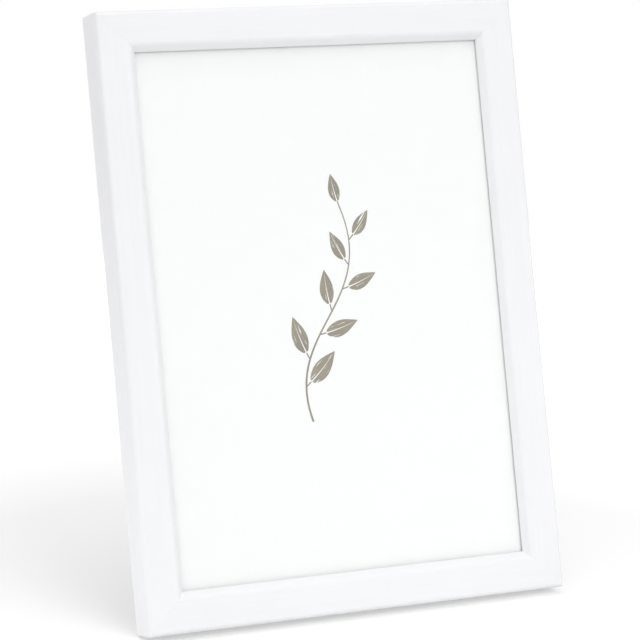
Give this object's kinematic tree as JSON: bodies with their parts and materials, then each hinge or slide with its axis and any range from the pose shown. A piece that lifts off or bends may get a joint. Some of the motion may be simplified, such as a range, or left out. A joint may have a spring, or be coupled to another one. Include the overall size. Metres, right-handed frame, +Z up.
{
  "type": "wooden picture frame",
  "caption": "White-lacquered wooden picture frame with a bevelled sight edge, glass, print, turn-button back, folding easel leg and wall hangers, shown leaning back.",
  "frame": {"origin": "on the table, under the middle of the standing part's bounding box", "axes": "+Z up, -Y out of the picture towards the viewer, +X to the viewer's right"},
  "size_m": [0.146, 0.0662, 0.1933],
  "materials": {
    "white_lacquer": "satin white lacquer",
    "clear_glass": "clear, polished",
    "print_paper": "matte white with a taupe line drawing",
    "grey_card": "raw grey card",
    "fibreboard": "matte dark paper face",
    "bright_steel": "zinc plated",
    "dark_steel": "plain steel"
  },
  "bodies": {
    "frame": {"bottom_rail": "white_lacquer", "right_rail": "white_lacquer", "top_rail": "white_lacquer", "left_rail": "white_lacquer", "corner_nail_bottom_left": "dark_steel", "corner_nail_bottom_right": "dark_steel", "corner_nail_top_right": "dark_steel", "corner_nail_top_left": "dark_steel", "glass_pane": "clear_glass", "print_sheet": "print_paper", "backing_card": "grey_card", "back_panel": "fibreboard", "button_screw_left_lower": "bright_steel", "button_screw_left_upper": "bright_steel", "button_screw_right_lower": "bright_steel", "button_screw_right_upper": "bright_steel", "hinge_panel_leaf": "bright_steel", "hinge_pin": "dark_steel", "panel_leaf_rivet_1": "bright_steel", "panel_leaf_rivet_2": "bright_steel", "hanger_strap_portrait": "bright_steel", "hanger_rivet_portrait": "bright_steel", "hanger_strap_landscape": "bright_steel", "hanger_rivet_landscape": "bright_steel"},
    "leg": {"easel_leg": "fibreboard", "hinge_leg_leaf": "bright_steel", "leg_leaf_rivet_1": "bright_steel", "leg_leaf_rivet_2": "bright_steel"},
    "button_left_lower": {"turn_button_left_lower": "bright_steel"},
    "button_left_upper": {"turn_button_left_upper": "bright_steel"},
    "button_right_lower": {"turn_button_right_lower": "bright_steel"},
    "button_right_upper": {"turn_button_right_upper": "bright_steel"},
    "ring_portrait": {"hanger_ring_portrait": "bright_steel"},
    "ring_landscape": {"hanger_ring_landscape": "bright_steel"}
  },
  "joints": [
    {"name": "leg_fold", "type": "hinge", "parent": "frame", "child": "leg", "pos_m": [0, 0.00749, 0.11632], "axis": [1, 0, 0], "range_deg": [-25, 0]},
    {"name": "button_left_lower_turn", "type": "hinge", "parent": "frame", "child": "button_left_lower", "pos_m": [-0.06925, -0.01128, 0.04368], "axis": [0, 0.9744, -0.225], "range_deg": [-90, 90]},
    {"name": "button_left_upper_turn", "type": "hinge", "parent": "frame", "child": "button_left_upper", "pos_m": [-0.06925, 0.01257, 0.14696], "axis": [0, 0.9744, -0.225], "range_deg": [-90, 90]},
    {"name": "button_right_lower_turn", "type": "hinge", "parent": "frame", "child": "button_right_lower", "pos_m": [0.06925, -0.01128, 0.04368], "axis": [0, 0.9744, -0.225], "range_deg": [-90, 90]},
    {"name": "button_right_upper_turn", "type": "hinge", "parent": "frame", "child": "button_right_upper", "pos_m": [0.06925, 0.01257, 0.14696], "axis": [0, 0.9744, -0.225], "range_deg": [-90, 90]},
    {"name": "ring_portrait_swing", "type": "hinge", "parent": "frame", "child": "ring_portrait", "pos_m": [0, 0.02042, 0.17388], "axis": [1, 0, 0], "range_deg": [-3, 167]},
    {"name": "ring_landscape_swing", "type": "hinge", "parent": "frame", "child": "ring_landscape", "pos_m": [0.056, 0.0022, 0.09496], "axis": [0, -0.225, -0.9744], "range_deg": [-80, 90]}
  ]
}
